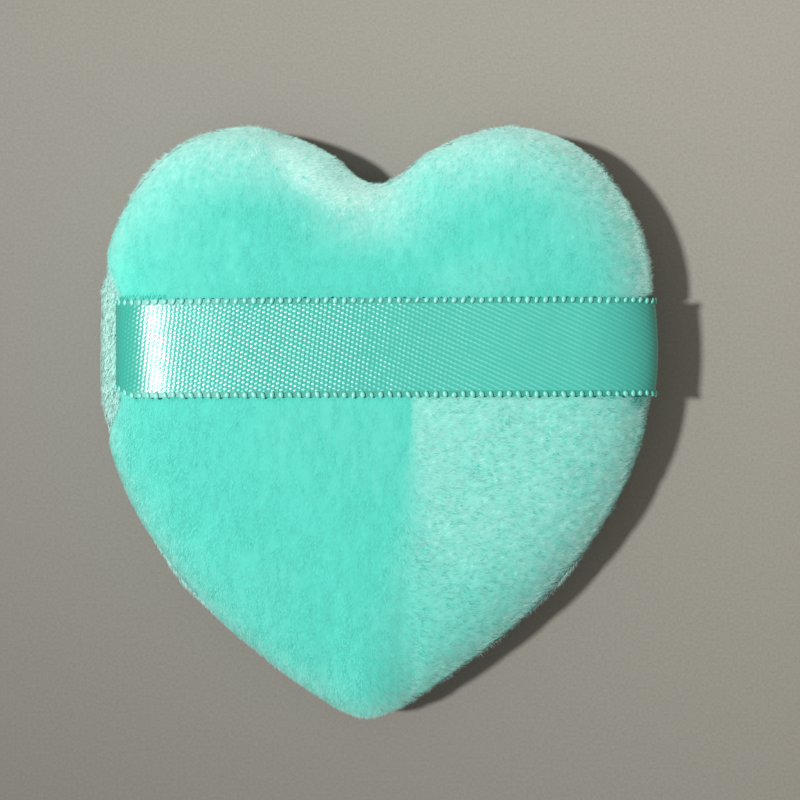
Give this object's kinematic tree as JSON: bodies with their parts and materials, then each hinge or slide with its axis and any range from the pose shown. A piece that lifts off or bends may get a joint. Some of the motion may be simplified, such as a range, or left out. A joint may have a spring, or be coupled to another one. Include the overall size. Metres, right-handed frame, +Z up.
{
  "type": "powder puff",
  "caption": "Heart-shaped velour powder puff: a foam-filled pad with a lockstitched edge seam and a satin finger ribbon across one side.",
  "frame": {"origin": "on the rest plane, below the middle of the whole part's box", "axes": "+Z up, with the strap side up; +Y from the tip towards the two lobes; +X across, with the slack end of the ribbon on the +X side"},
  "size_m": [0.0562, 0.0594, 0.0115],
  "materials": {
    "strap_side_cover": "short velour pile, matt with a pale fuzzy sheen",
    "powder_side_cover": "short velour pile, matt with a pale fuzzy sheen",
    "foam_core": "open-cell polyurethane foam, unseen",
    "finger_ribbon": "woven polyester satin, shiny along the weave",
    "seam_needle_thread": "spun polyester sewing thread",
    "seam_bobbin_thread": "spun polyester sewing thread"
  },
  "bodies": {
    "pad": {"powder_side_cover": "powder_side_cover", "strap_side_cover": "strap_side_cover", "foam_core": "foam_core", "seam_needle_thread": "seam_needle_thread", "seam_bobbin_thread": "seam_bobbin_thread"},
    "ribbon": {"finger_ribbon": "finger_ribbon"}
  },
  "joints": [
    {"name": "ribbon_lift", "type": "slide", "parent": "pad", "child": "ribbon", "axis": [0, 0, 1], "range_m": [0, 0.008], "deforming": ["finger_ribbon"]}
  ]
}
